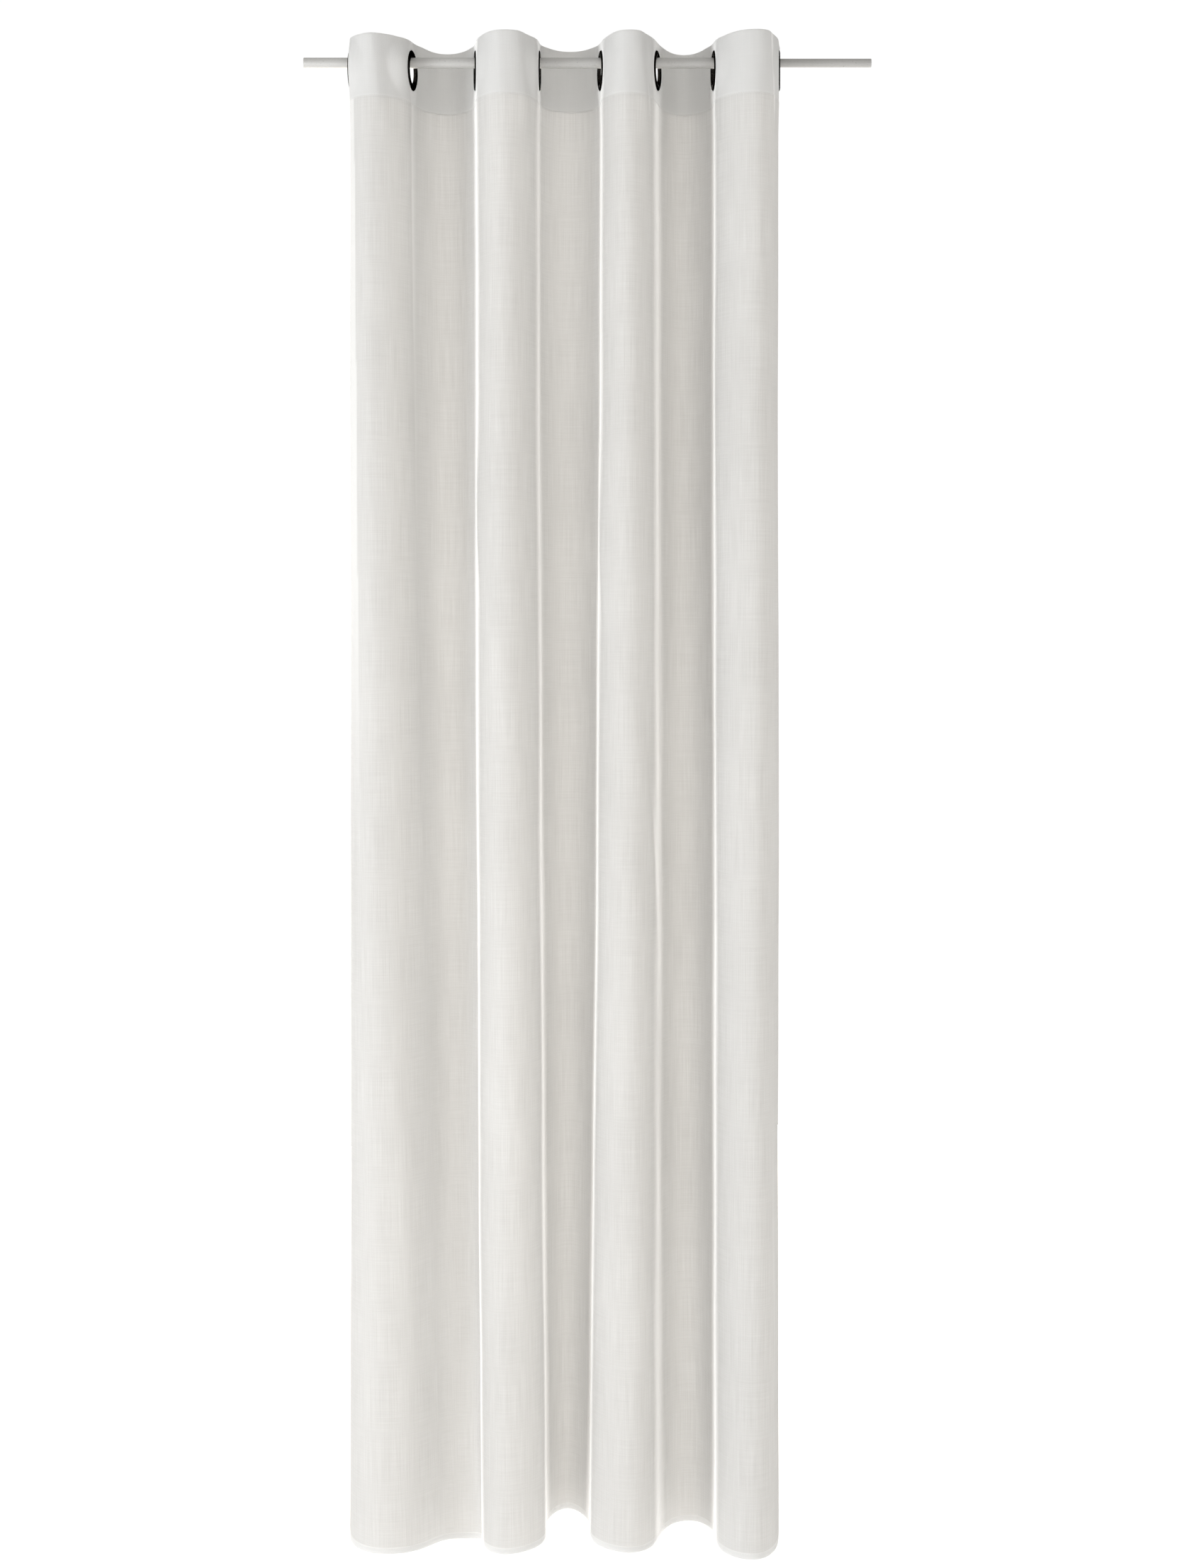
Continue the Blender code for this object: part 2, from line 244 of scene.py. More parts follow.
white_surroundings()
pale_floor()
soft_lamp("key_lamp", KEY_PLACE, KEY_AIM, 1.2, 3.0, KEY_POWER, KEY_COLOUR)
window = soft_lamp("window_light", WINDOW_PLACE, WINDOW_AIM, 3.0, 3.0, WINDOW_POWER,
                   WINDOW_COLOUR)
window.visible_camera = False
bpy.context.scene.view_settings.view_transform = "Standard"
bpy.context.scene.view_settings.look = "None"

# %% [markdown]
# ## The finishes
#
# Linen, black nickel and lacquer cover the object, and the sewing adds a thread. A finish is a
# tree of nodes, so a few helpers come first, which add and wire one kind of node each.

# %% Node helpers


def new_finish(name):
    """An empty node material with its Principled shader and its output."""
    look = bpy.data.materials.new(name)
    look.use_nodes = True
    nodes = look.node_tree.nodes
    return look, nodes, look.node_tree.links, nodes["Principled BSDF"]


def stretched_noise(nodes, links, source, scale, detail=3.0, roughness=0.55):
    """Noise on a stretched copy of a coordinate."""
    mapping = nodes.new("ShaderNodeMapping")
    set_sockets(mapping, Scale=scale)
    texture = nodes.new("ShaderNodeTexNoise")
    set_sockets(texture, Scale=1.0, Detail=detail, Roughness=roughness)
    links.new(source, mapping.inputs["Vector"])
    links.new(mapping.outputs["Vector"], texture.inputs["Vector"])
    return texture.outputs["Fac"]


def remapped(nodes, links, source, low, high, to_low, to_high):
    """A value stretched from one range to another, and held there."""
    step = nodes.new("ShaderNodeMapRange")
    set_sockets(step, From_Min=low, From_Max=high, To_Min=to_low, To_Max=to_high)
    links.new(source, step.inputs["Value"])
    return step.outputs["Result"]


def combined(nodes, links, operation, first, second):
    """Two values joined by one operation; the second may be a plain number."""
    step = nodes.new("ShaderNodeMath")
    step.operation = operation
    links.new(first, step.inputs[0])
    if isinstance(second, float):
        step.inputs[1].default_value = second
    else:
        links.new(second, step.inputs[1])
    return step.outputs[0]


def tinted(nodes, links, source, dark, light):
    """A colour between two, chosen by a value."""
    ramp = nodes.new("ShaderNodeMix")
    ramp.data_type = "RGBA"
    ramp.inputs[6].default_value = (*dark, 1)
    ramp.inputs[7].default_value = (*light, 1)
    links.new(source, ramp.inputs[0])
    return ramp.outputs[2]


def bumped(nodes, links, height, distance, strength, shader):
    """Bump on a shader's normal."""
    bump = nodes.new("ShaderNodeBump")
    set_sockets(bump, Distance=distance, Strength=strength)
    links.new(height, bump.inputs["Height"])
    links.new(bump.outputs["Normal"], shader.inputs["Normal"])
    return bump.outputs["Normal"]


# %% [markdown]
# The cloth is a semi-sheer weave with uneven, linen-like yarns, so its colour and its bump come
# from noise that is stretched along the two yarn directions. The pattern reads the cloth's own UV
# map, which is in metres on the flat cloth, so the yarns follow every fold. Part of the light goes
# through the weave, which a Translucent shader mixed into the Principled one gives. Where the
# cloth turns away, its fibre ends stand closer together and look paler: a second pair of plain
# shaders, brought in by Layer Weight, adds that. Two attributes of the mesh say where the cloth is
# doubled, and so whiter, and where painted shade takes that fuzz off the end folds' outer faces.

# %% Semi-sheer linen weave
LINEN_DARK = (0.765, 0.76, 0.75)
LINEN_LIGHT = (0.89, 0.888, 0.882)
LINEN_DOUBLED = (0.96, 0.96, 0.955, 1)
WEFT_YARNS = (16, 900, 1)  # noise per metre, across and up the flat cloth
WARP_YARNS = (800, 11, 1)
WEFT_SHARE = 0.6
FIBRES = (1500, 1500, 1)
CLOUDS = (5, 2.2, 1)
YARN_SHADE = 0.72  # how much of the light and dark comes from the yarns
CLOUD_SHADE = 0.28  # and how much from slow clouds in the cloth
THROUGH_CLOTH = 0.42
FUZZ_FROM = 0.66  # how far the cloth has turned away where its fuzz begins to show
FUZZ_FULL = 0.96
FUZZ_SHINE = 0.86
FUZZ_GLOW = 0.60


def fuzzed(nodes, links, cloth, painted_end_shade):
    """The pale sheen of fibre ends, which stand closest together where the cloth turns away."""
    turned = nodes.new("ShaderNodeLayerWeight")
    set_sockets(turned, Blend=0.5)
    fade = nodes.new("ShaderNodeMapRange")
    fade.interpolation_type = "SMOOTHSTEP"
    set_sockets(fade, From_Min=FUZZ_FROM, From_Max=FUZZ_FULL)
    shine = nodes.new("ShaderNodeBsdfDiffuse")
    glow = nodes.new("ShaderNodeBsdfTranslucent")
    set_sockets(shine, Color=(FUZZ_SHINE, FUZZ_SHINE, FUZZ_SHINE, 1))
    set_sockets(glow, Color=(FUZZ_GLOW, FUZZ_GLOW, FUZZ_GLOW, 1))
    fuzz = nodes.new("ShaderNodeAddShader")
    sheen = nodes.new("ShaderNodeMixShader")
    links.new(turned.outputs["Facing"], fade.inputs["Value"])
    links.new(shine.outputs[0], fuzz.inputs[0])
    links.new(glow.outputs[0], fuzz.inputs[1])
    # painted shade: on the end folds' outer faces the mask takes the pale fuzz away, so they come out darker
    thin = remapped(nodes, links, painted_end_shade, 0.0, 1.0, 1.0, 0.0)
    links.new(combined(nodes, links, "MULTIPLY", fade.outputs["Result"], thin), sheen.inputs["Fac"])
    links.new(cloth, sheen.inputs[1])
    links.new(fuzz.outputs[0], sheen.inputs[2])
    return sheen.outputs[0]


def linen_finish():
    """Cloth of uneven yarns that lets part of the light through."""
    look, nodes, links, shader = new_finish("semi_sheer_linen")
    uv = nodes.new("ShaderNodeUVMap")
    uv.uv_map = "flat_cloth"
    flat = uv.outputs["UV"]
    weft = stretched_noise(nodes, links, flat, WEFT_YARNS)
    warp = stretched_noise(nodes, links, flat, WARP_YARNS)
    thick_weft = combined(nodes, links, "MULTIPLY", weft, WEFT_SHARE)
    yarns = combined(nodes, links, "ADD", thick_weft, warp)
    fine = stretched_noise(nodes, links, flat, FIBRES, 1.0)
    cloudy = stretched_noise(nodes, links, flat, CLOUDS, 2.0)
    weave = remapped(nodes, links, yarns, 0.56, 1.04, 0.0, 1.0)
    shade = combined(nodes, links, "MULTIPLY", weave, YARN_SHADE)
    shade = combined(nodes, links, "ADD", shade,
                     remapped(nodes, links, cloudy, 0.3, 0.7, 0.0, CLOUD_SHADE))
    colour = tinted(nodes, links, shade, LINEN_DARK, LINEN_LIGHT)
    backed = nodes.new("ShaderNodeAttribute")
    backed.attribute_name = "doubled"
    whiter = nodes.new("ShaderNodeMix")
    whiter.data_type = "RGBA"
    whiter.inputs[7].default_value = LINEN_DOUBLED
    links.new(backed.outputs["Fac"], whiter.inputs[0])
    links.new(colour, whiter.inputs[6])
    colour = whiter.outputs[2]
    height = combined(nodes, links, "ADD", yarns, fine)
    set_sockets(shader, Roughness=0.86, Sheen_Weight=0.35, Sheen_Roughness=0.35,
                Specular_IOR_Level=0.25)
    links.new(colour, shader.inputs["Base Color"])
    normal = bumped(nodes, links, height, 0.0006, 0.35, shader)
    glow = nodes.new("ShaderNodeBsdfTranslucent")
    mix = nodes.new("ShaderNodeMixShader")
    set_sockets(mix, Fac=THROUGH_CLOTH)
    links.new(colour, glow.inputs["Color"])
    links.new(normal, glow.inputs["Normal"])
    links.new(shader.outputs[0], mix.inputs[1])
    links.new(glow.outputs[0], mix.inputs[2])
    end_shade_source = nodes.new("ShaderNodeAttribute")
    # this attribute carries the painted shade on the outer faces of the end folds
    end_shade_source.attribute_name = "painted_end_shade"
    surface = fuzzed(nodes, links, mix.outputs[0], end_shade_source.outputs["Fac"])
    links.new(surface, nodes["Material Output"].inputs["Surface"])
    return look


LINEN = linen_finish()
print(LINEN.name, "with", len(LINEN.node_tree.nodes), "nodes")

# %% [markdown]
# Black nickel is almost a mirror, but a dark one: it shows as black with soft pale edges where it
# turns away. Fine random scratches and a cloudy roughness stop it looking like glass. The rod is
# lacquered steel; its pale coat has a slight orange-peel surface, specks and a few hairline
# scratches, from being handled. The thin tube is a shade darker than the wide one.

# %% Metal finishes
ROD_PALE = (0.60, 0.592, 0.575)
THIN_ROD_PALE = (0.50, 0.492, 0.478)
SPECK_DARKNESS = 0.45  # of the lacquer's own colour


def object_coordinates(nodes):
    """Coordinates fixed to the piece itself."""
    return nodes.new("ShaderNodeTexCoord").outputs["Object"]


def black_nickel():
    """Dark plated metal with a cloudy polish."""
    look, nodes, links, shader = new_finish("black_nickel")
    place = object_coordinates(nodes)
    cloudy = stretched_noise(nodes, links, place, (160, 160, 160))
    fine = stretched_noise(nodes, links, place, (1800, 1800, 1800), 2.0)
    set_sockets(shader, Metallic=1.0, Specular_Tint=(0.10, 0.095, 0.09, 1))
    links.new(tinted(nodes, links, cloudy, (0.012, 0.011, 0.010), (0.030, 0.027, 0.024)),
              shader.inputs["Base Color"])
    links.new(remapped(nodes, links, cloudy, 0.3, 0.7, 0.16, 0.34), shader.inputs["Roughness"])
    bumped(nodes, links, fine, 0.0001, 0.12, shader)
    return look


def rod_lacquer(name, pale):
    """Pale lacquer with specks and hairline scratches."""
    look, nodes, links, shader = new_finish(name)
    place = object_coordinates(nodes)
    cloudy = stretched_noise(nodes, links, place, (14, 90, 90))
    peel = stretched_noise(nodes, links, place, (700, 700, 700), 2.0)
    specks = stretched_noise(nodes, links, place, (420, 420, 420), 1.0)
    speck = remapped(nodes, links, specks, 0.70, 0.76, 1.0, 0.55)
    lines = stretched_noise(nodes, links, place, (22, 160, 160), 4.0, 0.6)
    distance = combined(nodes, links, "ABSOLUTE",
                        combined(nodes, links, "SUBTRACT", lines, 0.5), 0.0)
    hairline = remapped(nodes, links, distance, 0.0, 0.008, 0.70, 1.0)
    marks = combined(nodes, links, "MULTIPLY", speck, hairline)
    shade = combined(nodes, links, "MULTIPLY", marks,
                     remapped(nodes, links, cloudy, 0.3, 0.7, 0.86, 1.0))
    dark = tuple(value * SPECK_DARKNESS for value in pale)
    links.new(tinted(nodes, links, shade, dark, pale), shader.inputs["Base Color"])
    links.new(remapped(nodes, links, cloudy, 0.3, 0.7, 0.34, 0.52), shader.inputs["Roughness"])
    set_sockets(shader, Metallic=0.15, Coat_Weight=0.15, Coat_Roughness=0.3)
    bumped(nodes, links, peel, 0.0002, 0.10, shader)
    return look


NICKEL = black_nickel()
LACQUER = rod_lacquer("rod_lacquer", ROD_PALE)
THIN_LACQUER = rod_lacquer("thin_rod_lacquer", THIN_ROD_PALE)
print("metals", [look.name for look in (NICKEL, LACQUER, THIN_LACQUER)])

# %% [markdown]
# ## How the cloth hangs
#
# Seen from above, the cloth is a wave: it leaves every eyelet at a slant, and turns round at a
# crest between two eyelets. One arm of that wave is a Bezier curve, which starts along the slant
# and arrives at the crest along the rod. A simulation would find much the same wave, but slowly
# and with small surprises, while this describes it: each crest and each slant has a value at the
# heading and another at the hem, and the rows between go over from one to the other.

# %% Values of the hang
SPACING = 0.187
FRONT = [number % 2 == 0 for number in range(len(CRESTS))]  # front folds alternate with back
HEADING_DEPTH = (0.055, 0.075, 0.074, 0.060, 0.073, 0.080, 0.077)
HEM_DEPTH = (0.061, 0.014, 0.065, 0.084, 0.063, 0.076, 0.086)
HEADING_SKEW = (-0.009, 0.000, -0.004, 0.000, -0.003, 0.001, 0.010)
HEM_SKEW = (0.018, 0.034, 0.005, -0.004, -0.003, 0.011, 0.005)
TOP_SLANT = (-7, 24, 9, 14, 14, 16, 14, 8)  # degrees towards the front crests
BODY_SLANT = (-8, 9, 0, 8, -2, 8, -4, 4)
HEM_SLANT = (6, 44, -3, -7, -4, 13, -4, 4)
CREST_TURN = (9, 2, 2, 0, 2, 0, 3)  # degrees towards the right
HEM_DRIFT = (-0.001, 0.047, 0.009, 0.012, -0.018, 0.003, 0.001, 0.000)
HEM_LIFT = (-0.003, -0.007, -0.002, 0.0145, -0.001, -0.002, -0.002)
EDGE_MARGIN = 0.0455
ARM_COLUMNS = 30
EDGE_COLUMNS = 15
EDGE_STRAIGHT = 0.031
CURL_RADIUS = 0.017
print("crests to the front", FRONT.count(True), "and to the back", FRONT.count(False))

# %% Eyelet lines and crests at any height
SETTLE = 1.5  # above 1, the change towards the hem comes late in the drop


def eased(value):
    """Smooth step from 0 to 1."""
    value = min(max(value, 0.0), 1.0)
    return value * value * (3 - 2 * value)


def drop_share(z):
    """0 at the heading seam and 1 at the hem."""
    return min(max((SEAM - z) / (SEAM - BOTTOM), 0.0), 1.0)


def between(heading, hem, share):
    """A value part of the way from the heading's to the hem's."""
    return heading + (hem - heading) * share


def row_places(z):
    """Where the eyelet lines and the crests stand at a height, and the slants there."""
    share = drop_share(z) ** SETTLE
    rise = eased((z - SEAM) / (TOP - SEAM))
    lines = [np.array((place.x + move * share, 0.0)) for place, move in zip(EYELETS, HEM_DRIFT)]
    slants = [math.radians(between(between(body, hem, share), top, rise))
              for top, body, hem in zip(TOP_SLANT, BODY_SLANT, HEM_SLANT)]
    crests = []
    for number, crest in enumerate(CRESTS):
        depth = between(HEADING_DEPTH[number], HEM_DEPTH[number], share)
        skew = between(HEADING_SKEW[number], HEM_SKEW[number], share)
        crests.append(np.array((crest.x + skew, -depth if FRONT[number] else depth)))
    return lines, slants, crests


print("first crest from", row_places(SEAM)[2][0].round(3), "to", row_places(BOTTOM)[2][0].round(3))

# %% [markdown]
# An arm runs from an eyelet line to a crest, and a side edge runs from the first or last eyelet
# line to the back. Both are resampled to equal steps, as the threads of a cloth are.

# %% The path of one row of cloth
LINE_HANDLE = (0.56, 0.50)  # lengths of the curve's two handles, at the heading and at the hem
CREST_HANDLE = (0.50, 0.62)
CURVE_POINTS = 40
EDGE_POINTS = 25


def slanted(number, slant):
    """Unit vector along the cloth at an eyelet line, towards the room."""
    side = 1 if number % 2 == 0 else -1
    return np.array((side * math.sin(slant), -math.cos(slant)))


def resampled(points, count):
    """The same path as a number of equal steps."""
    points = np.array(points)
    lengths = np.concatenate(((0,), np.cumsum(np.linalg.norm(np.diff(points, axis=0), axis=1))))
    wanted = np.linspace(0, lengths[-1], count + 1)
    return np.stack([np.interp(wanted, lengths, points[:, axis]) for axis in (0, 1)], axis=1)


def arm_path(line, direction, crest, turn, share):
    """Path from an eyelet line to a crest, whose cloth is turned a little from the rod's line."""
    toward = direction * (1 if crest[1] < 0 else -1)
    first = line + toward * abs(crest[1]) * between(*LINE_HANDLE, share)
    across = np.array((1, math.tan(math.radians(turn)))) * (crest[0] - line[0])
    second = crest - across * between(*CREST_HANDLE, share)
    t = np.linspace(0, 1, CURVE_POINTS)[:, None]
    points = (1 - t) ** 3 * line + 3 * (1 - t) ** 2 * t * first
    points = points + 3 * (1 - t) * t ** 2 * second + t ** 3 * crest
    return resampled(points, ARM_COLUMNS)


def edge_path(line, direction, side):
    """Path from the first or last eyelet line back to the side edge, which curls inwards."""
    distance = np.linspace(0, EDGE_MARGIN, EDGE_POINTS)
    bend = np.maximum(distance - EDGE_STRAIGHT, 0.0) / CURL_RADIUS
    ahead = np.minimum(distance, EDGE_STRAIGHT) + CURL_RADIUS * np.sin(bend)
    aside = CURL_RADIUS * (1 - np.cos(bend))
    points = line - ahead[:, None] * direction + aside[:, None] * np.array((side, 0.0))
    return resampled(points, EDGE_COLUMNS)


def loose_row(z):
    """The whole row from the left side edge to the right one, as points in plan."""
    share = drop_share(z)
    lines, slants, crests = row_places(z)
    ways = [slanted(number, slant) for number, slant in enumerate(slants)]
    pieces = [edge_path(lines[0], ways[0], 1)[::-1]]
    for number, crest in enumerate(crests):
        turn = CREST_TURN[number]
        pieces.append(arm_path(lines[number], ways[number], crest, turn, share)[1:])
        back = arm_path(lines[number + 1], ways[number + 1], crest, turn, share)
        pieces.append(back[::-1][1:])
    # the last eyelet's front arm leads to its left, so its cloth goes on to the back
    pieces.append(edge_path(lines[-1], ways[-1], -1)[1:])
    return np.concatenate(pieces)


COLUMNS = 2 * EDGE_COLUMNS + 2 * ARM_COLUMNS * len(CRESTS) + 1
print("columns of cloth", COLUMNS, "found", len(loose_row(SEAM)))

# %% [markdown]
# An eyelet holds the heading flat between its two halves. So near each eyelet the wave gives way
# to the eyelet's own plane: completely under the flange, and less and less beyond it.

# %% Hold the heading flat in its eyelets
HELD_RADIUS = 0.031
FREE_RADIUS = 0.060


def line_column(number):
    """Column of the sheet that runs through an eyelet."""
    return EDGE_COLUMNS + 2 * ARM_COLUMNS * number


def eyelet_way(number):
    """Unit vector in the plane of an eyelet, towards the room."""
    axis = AXES[number]
    along = np.array((-axis.y, axis.x))
    return along if along[1] < 0 else -along


def row_path(z):
    """A row of the sheet, held flat near the eyelets."""
    plan = loose_row(z)
    rise = z - EYELETS[0].z
    if abs(rise) > FREE_RADIUS:
        return plan
    steps = np.linalg.norm(np.diff(plan, axis=0), axis=1)
    along = np.concatenate(((0,), np.cumsum(steps)))
    held = plan.copy()
    for number, place in enumerate(EYELETS):
        distance = along - along[line_column(number)]
        reach = np.hypot(distance, rise)
        grip = np.clip((FREE_RADIUS - reach) / (FREE_RADIUS - HELD_RADIUS), 0, 1)
        grip = (grip * grip * (3 - 2 * grip))[:, None]
        way = eyelet_way(number) * (1 if number % 2 == 0 else -1)
        flat = np.array((place.x, 0.0)) + distance[:, None] * way
        held += grip * (flat - plan)
    return held


print("held flat from", HELD_RADIUS, "to", FREE_RADIUS, "m round each eyelet")

# %% [markdown]
# Nothing woven hangs perfectly. Each fold carries one or two soft drag lines that cross it as
# they fall, and the whole cloth has a slow unevenness. Both are small steps along the cloth's own
# normal, and they fade to nothing at the heading, which is stiff. That breaks instead, in one
# crease to each front fold, which runs out a little below the seam.

# %% Drag lines and unevenness
# each: eyelet spacings from the first eyelet at the top, metres below the rod there,
# the same two at the bottom, height of the ridge, half width
DRAG_LINES = (
    (2.10, 0.62, 2.72, 1.16, 0.0022, 0.020),
    (4.08, 0.68, 4.92, 1.28, 0.0024, 0.022),
    (0.12, 0.35, 0.30, 1.25, 0.0012, 0.016),
    (0.55, 1.35, 0.80, 2.05, 0.0016, 0.020),
    (6.10, 0.45, 6.34, 1.10, 0.0012, 0.018),
    (6.30, 1.35, 6.75, 2.00, 0.0018, 0.024),
    (2.35, 1.45, 2.62, 2.10, -0.0016, 0.022),
    (4.55, 1.60, 4.30, 2.15, -0.0015, 0.022),
)
RUN_OUT = 0.25  # of its length, over which a drag line comes and goes
# each: share of the whole unevenness, waves in a metre across and down, and a seed
SWELLS = ((1.0, 9.0, 2.2, 3.7), (0.35, 26.0, 5.0, 9.1))
UNEVEN = 0.0016


def drag(u, z):
    """Height of the drag lines at a place on the flat cloth."""
    total = 0.0
    for top_u, top_z, low_u, low_z, height, width in DRAG_LINES:
        share = (-z - top_z) / (low_z - top_z)
        if -RUN_OUT < share < 1 + RUN_OUT:
            middle = (top_u + (low_u - top_u) * share) * SPACING
            fade = (eased((share + RUN_OUT) / (2 * RUN_OUT))
                    * eased((1 + RUN_OUT - share) / (2 * RUN_OUT)))
            total += height * fade * math.exp(-(((u - middle) / width) ** 2))
    return total


# each: eyelet spacings from the first eyelet, height and half width of the crease
HEADING_CREASES = ((0.49, 0.0024, 0.020), (2.61, 0.0036, 0.020), (4.59, 0.0036, 0.019),
                   (6.60, 0.0034, 0.020))
CREASE_LEAN = 0.12
CREASE_RUN = 0.075  # how far below the seam a crease runs out


def creases(u, z):
    """Height of the breaks in the stiff heading; they run out below its seam."""
    fade = eased((z - SEAM + CREASE_RUN) / CREASE_RUN)
    total = 0.0
    for spaces, height, width in HEADING_CREASES:
        middle = spaces * SPACING + (TOP - z) * CREASE_LEAN
        total += height * max(0.0, 1 - abs(u - middle) / width)
    return total * fade


def unevenness(u, z):
    """Slow swell of the cloth, longer down the drop than across it."""
    return UNEVEN * sum(share * noise.noise(Vector((u * across, z * down, seed)))
                        for share, across, down, seed in SWELLS)


print(len(DRAG_LINES), "drag lines and", len(HEADING_CREASES), "creases in the heading")

# %% [markdown]
# ## The sheet
#
# The cloth is one sheet: it starts as a narrow hem turned up behind the bottom edge, runs up the
# front, turns over the top and comes down behind as the lining of the heading, to the seam. A row
# of the sheet therefore has a height and a step off the middle surface. Working out every row
# first, as one table of places, keeps the seven spans below in step with each other.

# %% Rows of the sheet
LAYER = 0.0008  # from the middle of the heading to each of its layers
CLOTH = 0.0005  # thickness of the cloth
HEM = 0.009
HEM_STEP = 0.0009  # from the front of the hem to its turned-up back
SIDE_HEM = 0.011  # width of the turned side edges
HEM_BEND = 0.0004  # how far up the bend of the hem reaches
HEM_ROWS = 3
HEM_NEAR = 0.004  # a row between the bend and the top of the hem
ABOVE_HEM = 0.001
STIFF_FADE = 0.05  # the sheet comes back to its middle this far below the heading
CLOSE_HEIGHT = 0.008  # the lining closes up to the front over this height at the seam
CLOSE_GAP = 1.6 * CLOTH
BODY_ROWS = 150
HEADING_ROWS = 32
TOP_STEPS = 5  # steps of the bend over the top


def sheet_rows():
    """Rows from the turned-up hem to the end of the heading's lining: height, step, flat place."""
    rows = []
    for step in range(HEM_ROWS):
        left = 1 - step / HEM_ROWS
        rows.append((BOTTOM + HEM * left, -HEM_STEP, -HEM * left))
    rows.append((BOTTOM + HEM_BEND, -HEM_STEP, -HEM_BEND))
    rows.append((BOTTOM, -HEM_STEP / 2, 0.0))
    for height in (HEM_BEND, HEM_NEAR, HEM):
        rows.append((BOTTOM + height, 0.0, height))
    low = BOTTOM + HEM + ABOVE_HEM
    for step in range(BODY_ROWS + 1):
        z = low + (SEAM - low) * step / BODY_ROWS
        rows.append((z, LAYER * eased(1 - (SEAM - z) / STIFF_FADE), z - BOTTOM))
    for step in range(1, HEADING_ROWS + 1):
        z = SEAM + (TOP - LAYER - SEAM) * step / HEADING_ROWS
        rows.append((z, LAYER, z - BOTTOM))
    flat = rows[-1][2]
    for step in range(1, TOP_STEPS):
        angle = math.pi * step / TOP_STEPS
        rows.append((TOP - LAYER + LAYER * math.sin(angle), LAYER * math.cos(angle),
                     flat + LAYER * angle))
    flat += LAYER * math.pi
    for step in range(HEADING_ROWS + 1):
        z = TOP - LAYER - (TOP - LAYER - SEAM) * step / HEADING_ROWS
        close = eased(1 - (z - SEAM) / CLOSE_HEIGHT)
        rows.append((z, -LAYER + close * (2 * LAYER - CLOSE_GAP), flat + TOP - LAYER - z))
    return rows


ROWS = sheet_rows()
print("rows", len(ROWS), "from", round(ROWS[0][2], 4), "to", round(ROWS[-1][2], 4))

# %% [markdown]
# The table of places joins all that: a row's path, its step off the middle surface, the drag
# lines and creases along the cloth's normal, and a hem that is not quite level.

# %% Places of the sheet
LOOSENING = 6  # the cloth is fully loose at one part in this many of the drop
LIFT_POWER = 3  # the hem's rise is felt only in the last part of the drop


def hem_lift(number):
    """How far the hem rises at a column, from the values at the crests."""
    places = [0]
    lifts = [0.0]
    for fold, lift in enumerate(HEM_LIFT):
        places.append(line_column(fold) + ARM_COLUMNS)
        lifts.append(lift)
    places.append(COLUMNS - 1)
    lifts.append(0.0)
    return float(np.interp(number, places, lifts))


def flat_place(column):
    """Distance along the flat cloth from the first eyelet line."""
    inner = column - EDGE_COLUMNS
    span = 2 * ARM_COLUMNS
    if inner < 0:
        return EDGE_MARGIN * inner / EDGE_COLUMNS
    if inner > span * len(CRESTS):
        over = inner - span * len(CRESTS)
        return SPACING * len(CRESTS) + EDGE_MARGIN * over / EDGE_COLUMNS
    return SPACING * inner / span


def sheet_places():
    """Places of the whole sheet, row by row and column by column, with its front normals."""
    lifts = [hem_lift(column) for column in range(COLUMNS)]
    flats = [flat_place(column) for column in range(COLUMNS)]
    places = np.zeros((len(ROWS), COLUMNS, 3))
    for row, (z, step, _) in enumerate(ROWS):
        plan = row_path(z)
        along = np.gradient(plan, axis=0)
        along /= np.linalg.norm(along, axis=1)[:, None]
        normal = np.stack((along[:, 1], -along[:, 0]), axis=1)
        loose = eased(drop_share(z) * LOOSENING)
        share = drop_share(z) ** LIFT_POWER
        for column in range(COLUMNS):
            off = step
            if loose > 0:
                off += loose * (drag(flats[column], z) + unevenness(flats[column], z))
            if z > SEAM - CREASE_RUN:
                off += creases(flats[column], z)
            places[row, column, :2] = plan[column] + normal[column] * off
            places[row, column, 2] = z + lifts[column] * share
    return places


PLACES = sheet_places()
print("sheet of", PLACES.shape[0], "rows and", PLACES.shape[1], "columns")

# %% [markdown]
# A semi-sheer cloth is whiter where a second layer lies behind it: in the heading, along the seam
# and the hems, and on the first fold, where the side edge reaches back behind it. Each vertex
# carries a number for that and another for painted shade on the end folds; the linen reads both.

# %% Doubled cloth, and painted shade on the end folds
SEAM_STRIP = 0.004
HEM_SLACK = 0.0005
RETURN_REACH = 0.049  # how far the side edge reaches back behind the first fold
RETURN_LEAN = 0.010  # and how much further for each metre down
RETURN_FADE_FROM = 0.65  # metres below the rod where its edge begins to fade
RETURN_FADE_OVER = 0.6
# how far the painted shade on the end folds fades out towards the middle
PAINTED_SHADE_FADE = 0.01
FULLY = 1.0
IN_HEADING = 0.75  # the heading's lining shows a little less than a sewn layer


def doubled(column, row):
    """1 where the cloth has another layer behind it and so looks whiter, and 0 elsewhere."""
    z, _, flat = ROWS[row]
    u = flat_place(column)
    if SEAM < z < SEAM + SEAM_STRIP:
        return FULLY
    if z > SEAM:
        return IN_HEADING
    if flat < HEM + HEM_SLACK:
        return FULLY
    if u < SIDE_HEM - EDGE_MARGIN or u > SPACING * len(CRESTS) + EDGE_MARGIN - SIDE_HEM:
        return IN_HEADING
    if u < RETURN_REACH + RETURN_LEAN * (SEAM - z):
        return 1 - eased((-z - RETURN_FADE_FROM) / RETURN_FADE_OVER)
    return 0.0


def painted_end_shade(column):
    """1 on the outer faces of the first and last folds, where painted shade takes the fuzz away."""
    u = flat_place(column)
    inwards = min(u, SPACING * len(CRESTS) - u)
    return 1 - eased((inwards - RETURN_REACH) / PAINTED_SHADE_FADE)


print("doubled in the heading", IN_HEADING)

# %% [markdown]
# ## Seven spans of cloth
#
# A span is the cloth between two eyelet lines, and it bends between the two walls that meet at
# its crest. It starts as a plain bmesh grid whose vertices are then moved to their places on the
# sheet. Under each flange the grid is opened and its rim is drawn onto a circle, which the flange
# covers. Solidify gives the weave its half millimetre.

